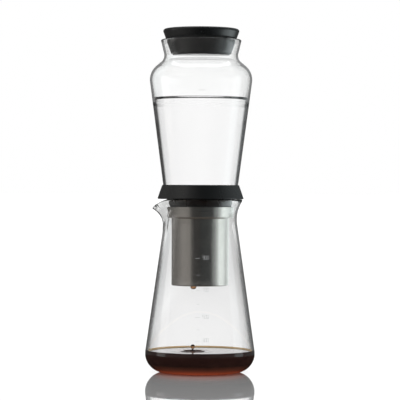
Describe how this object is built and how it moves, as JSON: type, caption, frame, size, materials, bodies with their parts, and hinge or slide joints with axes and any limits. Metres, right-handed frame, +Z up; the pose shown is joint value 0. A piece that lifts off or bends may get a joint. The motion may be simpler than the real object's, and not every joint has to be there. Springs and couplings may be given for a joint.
{
  "type": "cold brew coffee maker",
  "caption": "Slow-drip cold brewer: a glass decanter with a spout, a black drip base holding a steel filter cup, an open-ended glass water chamber and a tapered lid.",
  "frame": {"origin": "centre of the decanter's flat foot, on the surface that it stands on", "axes": "+Z up along the common axis of all the pieces; the spout points to -X; the picture looks along +Y"},
  "size_m": [0.1172, 0.1172, 0.3661],
  "materials": {
    "clear_glass": "clear, thin-walled heat-proof glass",
    "brushed_steel": "satin, drawn sheet",
    "steel_mesh": "fine woven mesh",
    "black_plastic": "satin moulded plastic",
    "dark_silicone": "matt silicone",
    "water": "clear liquid",
    "coffee": "dark clear liquid",
    "grey_print": "thin printed scale marks"
  },
  "bodies": {
    "decanter": {"decanter": "clear_glass"},
    "base": {"drip_base": "black_plastic", "filter_gasket": "dark_silicone", "chamber_gasket": "dark_silicone", "drip_nozzle": "brushed_steel", "nozzle_washer": "dark_silicone", "nozzle_nut": "brushed_steel", "screen_holder": "black_plastic", "inlet_screen": "steel_mesh"},
    "filter": {"filter_cup": "brushed_steel", "filter_mesh": "steel_mesh", "mesh_ring": "brushed_steel"},
    "spreader": {"spreader_plate": "brushed_steel", "spreader_knob": "brushed_steel"},
    "chamber": {"upper_chamber": "clear_glass"},
    "lid": {"lid_cap": "black_plastic", "lid_disc": "black_plastic"}
  },
  "joints": [
    {"name": "base_lift", "type": "slide", "parent": "decanter", "child": "base", "axis": [0, 0, 1], "range_m": [0, 0.11]},
    {"name": "filter_drop", "type": "slide", "parent": "base", "child": "filter", "axis": [0, 0, -1], "range_m": [0, 0.03]},
    {"name": "spreader_lift", "type": "slide", "parent": "filter", "child": "spreader", "axis": [0, 0, 1], "range_m": [0, 0.0035]},
    {"name": "chamber_lift", "type": "slide", "parent": "base", "child": "chamber", "axis": [0, 0, 1], "range_m": [0, 0.04]},
    {"name": "lid_lift", "type": "slide", "parent": "chamber", "child": "lid", "axis": [0, 0, 1], "range_m": [0, 0.06]}
  ]
}
